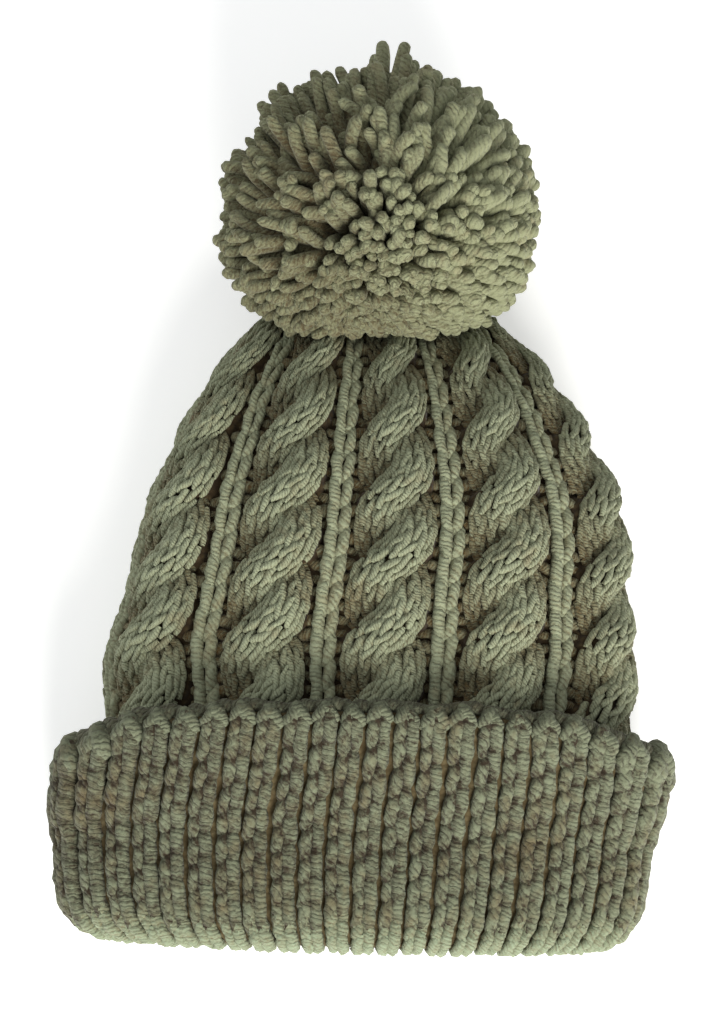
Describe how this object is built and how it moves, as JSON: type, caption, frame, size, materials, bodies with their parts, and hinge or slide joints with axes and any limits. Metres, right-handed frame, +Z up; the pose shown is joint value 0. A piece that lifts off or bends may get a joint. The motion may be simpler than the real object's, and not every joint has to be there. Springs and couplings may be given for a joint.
{
  "type": "cable knit bobble hat",
  "caption": "Hand-knitted cabled hat with a ribbed turned-up cuff and a large yarn pompom, lying on its back with its mouth open.",
  "frame": {"origin": "middle of the hat's own box, at the surface that it lies on", "axes": "+Z up from the surface, +Y along the hat from its mouth to its pompom, +X across it"},
  "size_m": [0.2222, 0.3318, 0.1051],
  "materials": {
    "crown_knit": "matte cabled wool knit",
    "cuff_knit": "matte ribbed wool knit",
    "pompom_yarn": "matte cut wool yarn"
  },
  "bodies": {
    "root": {"crown": "crown_knit", "cuff": "cuff_knit", "pompom": "pompom_yarn"}
  },
  "joints": []
}
